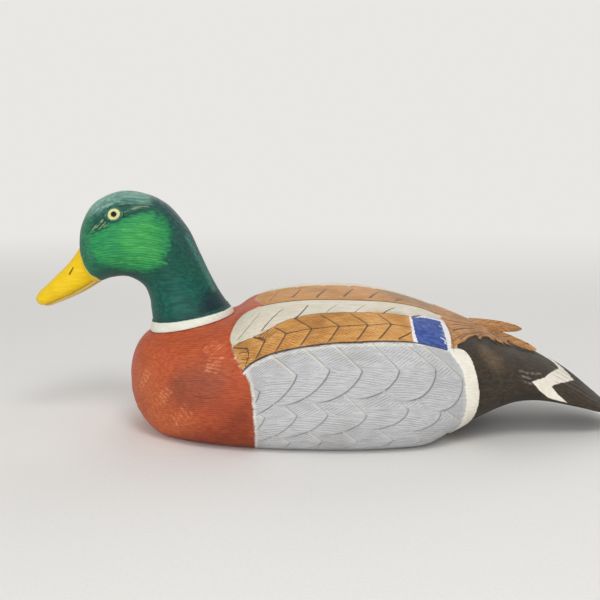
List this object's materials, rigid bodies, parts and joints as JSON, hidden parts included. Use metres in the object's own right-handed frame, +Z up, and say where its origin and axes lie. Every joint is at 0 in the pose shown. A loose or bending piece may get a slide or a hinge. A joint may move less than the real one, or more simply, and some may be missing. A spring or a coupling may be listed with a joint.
{
  "type": "floating duck decoy",
  "caption": "Carved and painted wooden drake decoy with a flat bottom board, a head that turns on a neck stud, glass eyes, a sunk ballast plate and a swinging line ring.",
  "frame": {"origin": "on the underside's plane, below the middle of the overall length and width", "axes": "+X runs from the bill to the tail, +Z is up, and the left side faces -Y"},
  "size_m": [0.3996, 0.1516, 0.1619],
  "materials": {
    "painted_body": "hand painted over carved wood, satin",
    "painted_board": "hand painted over carved wood, satin",
    "dowel_wood": "bare beech",
    "painted_wing_tip": "hand painted over carved wood, satin",
    "cork": "bare cork",
    "lead": "dull cast lead",
    "brass": "dull brass",
    "painted_head": "hand painted over carved wood, satin",
    "painted_collar": "hand painted over turned wood, satin",
    "painted_bill": "hand painted over carved wood, satin",
    "eye_glass": "polished glass with a painted back",
    "eye_putty": "painted putty",
    "steel": "zinc plated"
  },
  "bodies": {
    "decoy_body": {"body_upper": "painted_body", "body_bottom": "painted_board", "seam_dowels": "dowel_wood", "left_wing_tip": "painted_wing_tip", "right_wing_tip": "painted_wing_tip", "neck_seal": "cork", "ballast_weight": "lead", "ballast_screws": "brass", "line_staple": "brass"},
    "turning_head": {"head": "painted_head", "neck_collar": "painted_collar", "bill": "painted_bill", "bill_dowel": "dowel_wood", "left_eye": "eye_glass", "right_eye": "eye_glass", "left_eye_putty": "eye_putty", "right_eye_putty": "eye_putty", "head_stud": "steel", "head_washer": "steel", "spring_washer": "steel", "lock_nut": "steel"},
    "swinging_ring": {"line_ring": "brass"}
  },
  "joints": [
    {"name": "head_turn", "type": "hinge", "parent": "decoy_body", "child": "turning_head", "pos_m": [-0.093, 0, 0.07229], "axis": [-0.2079, 0, 0.9781], "range_deg": [-45, 45]},
    {"name": "line_ring_swing", "type": "hinge", "parent": "decoy_body", "child": "swinging_ring", "pos_m": [-0.084, 0, 0.0045], "axis": [0, 1, 0], "range_deg": [-9, 80]}
  ]
}
